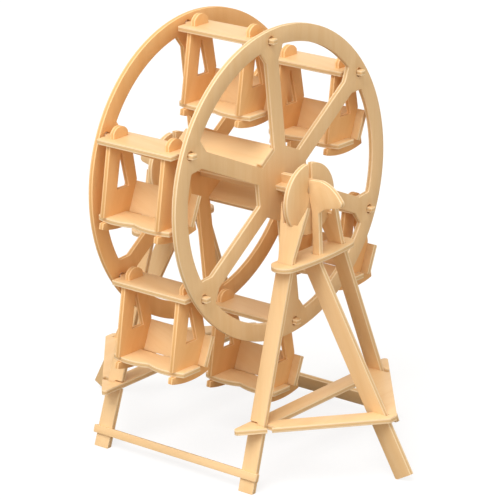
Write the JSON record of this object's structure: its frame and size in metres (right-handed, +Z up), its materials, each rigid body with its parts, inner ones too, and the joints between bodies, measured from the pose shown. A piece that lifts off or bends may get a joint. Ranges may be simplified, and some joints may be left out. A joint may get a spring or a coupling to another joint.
{
  "type": "toy ferris wheel",
  "caption": "Table-top plywood ferris wheel toy: twin spoked discs with hanging seats turn on a crossed axle between two three-legged towers, turned by hand.",
  "frame": {"origin": "on the ground, under the middle of the wheel's axle", "axes": "+X along the axle, from the left tower to the right one; -Y is the way the seats face; +Z up"},
  "size_m": [0.2394, 0.1836, 0.2494],
  "materials": {
    "plywood": "bare birch plywood, sanded, with clear laser-cut edges"
  },
  "bodies": {
    "stand": {"base_brace_left": "plywood", "base_brace_right": "plywood", "front_bar": "plywood", "front_leg_left": "plywood", "front_leg_right": "plywood", "head_plate_left": "plywood", "head_plate_right": "plywood", "outrigger_leg_left": "plywood", "outrigger_leg_right": "plywood", "rear_bar": "plywood", "rear_leg_left": "plywood", "rear_leg_right": "plywood", "upper_brace_left": "plywood", "upper_brace_right": "plywood"},
    "wheel": {"wheel_disc_right": "plywood", "wheel_disc_left": "plywood", "axle_plank_upright": "plywood", "axle_plank_level": "plywood", "spacer_board_upper": "plywood", "spacer_board_lower": "plywood"},
    "gondola_1": {"gondola_1_roof": "plywood", "gondola_1_panel_right": "plywood", "gondola_1_panel_left": "plywood", "gondola_1_seat": "plywood", "gondola_1_backrest": "plywood"},
    "gondola_2": {"gondola_2_roof": "plywood", "gondola_2_panel_right": "plywood", "gondola_2_panel_left": "plywood", "gondola_2_seat": "plywood", "gondola_2_backrest": "plywood"},
    "gondola_3": {"gondola_3_roof": "plywood", "gondola_3_panel_right": "plywood", "gondola_3_panel_left": "plywood", "gondola_3_seat": "plywood", "gondola_3_backrest": "plywood"},
    "gondola_4": {"gondola_4_roof": "plywood", "gondola_4_panel_right": "plywood", "gondola_4_panel_left": "plywood", "gondola_4_seat": "plywood", "gondola_4_backrest": "plywood"},
    "gondola_5": {"gondola_5_roof": "plywood", "gondola_5_panel_right": "plywood", "gondola_5_panel_left": "plywood", "gondola_5_seat": "plywood", "gondola_5_backrest": "plywood"},
    "gondola_6": {"gondola_6_roof": "plywood", "gondola_6_panel_right": "plywood", "gondola_6_panel_left": "plywood", "gondola_6_seat": "plywood", "gondola_6_backrest": "plywood"}
  },
  "joints": [
    {"name": "wheel_turn", "type": "hinge", "parent": "stand", "child": "wheel", "pos_m": [0, 0, 0.158], "axis": [1, 0, 0], "continuous": true},
    {"name": "gondola_1_swing", "type": "hinge", "parent": "wheel", "child": "gondola_1", "pos_m": [0, -0.00703, 0.24171], "axis": [1, 0, 0], "continuous": true},
    {"name": "gondola_2_swing", "type": "hinge", "parent": "wheel", "child": "gondola_2", "pos_m": [0, 0.06898, 0.20594], "axis": [1, 0, 0], "continuous": true},
    {"name": "gondola_3_swing", "type": "hinge", "parent": "wheel", "child": "gondola_3", "pos_m": [0, 0.07601, 0.12223], "axis": [1, 0, 0], "continuous": true},
    {"name": "gondola_4_swing", "type": "hinge", "parent": "wheel", "child": "gondola_4", "pos_m": [0, 0.00703, 0.07429], "axis": [1, 0, 0], "continuous": true},
    {"name": "gondola_5_swing", "type": "hinge", "parent": "wheel", "child": "gondola_5", "pos_m": [0, -0.06898, 0.11006], "axis": [1, 0, 0], "continuous": true},
    {"name": "gondola_6_swing", "type": "hinge", "parent": "wheel", "child": "gondola_6", "pos_m": [0, -0.07601, 0.19377], "axis": [1, 0, 0], "continuous": true}
  ],
  "couplings": [
    {"joint": "gondola_1_swing", "follows": "wheel_turn", "ratio": -1},
    {"joint": "gondola_2_swing", "follows": "wheel_turn", "ratio": -1},
    {"joint": "gondola_3_swing", "follows": "wheel_turn", "ratio": -1},
    {"joint": "gondola_4_swing", "follows": "wheel_turn", "ratio": -1},
    {"joint": "gondola_5_swing", "follows": "wheel_turn", "ratio": -1},
    {"joint": "gondola_6_swing", "follows": "wheel_turn", "ratio": -1}
  ]
}
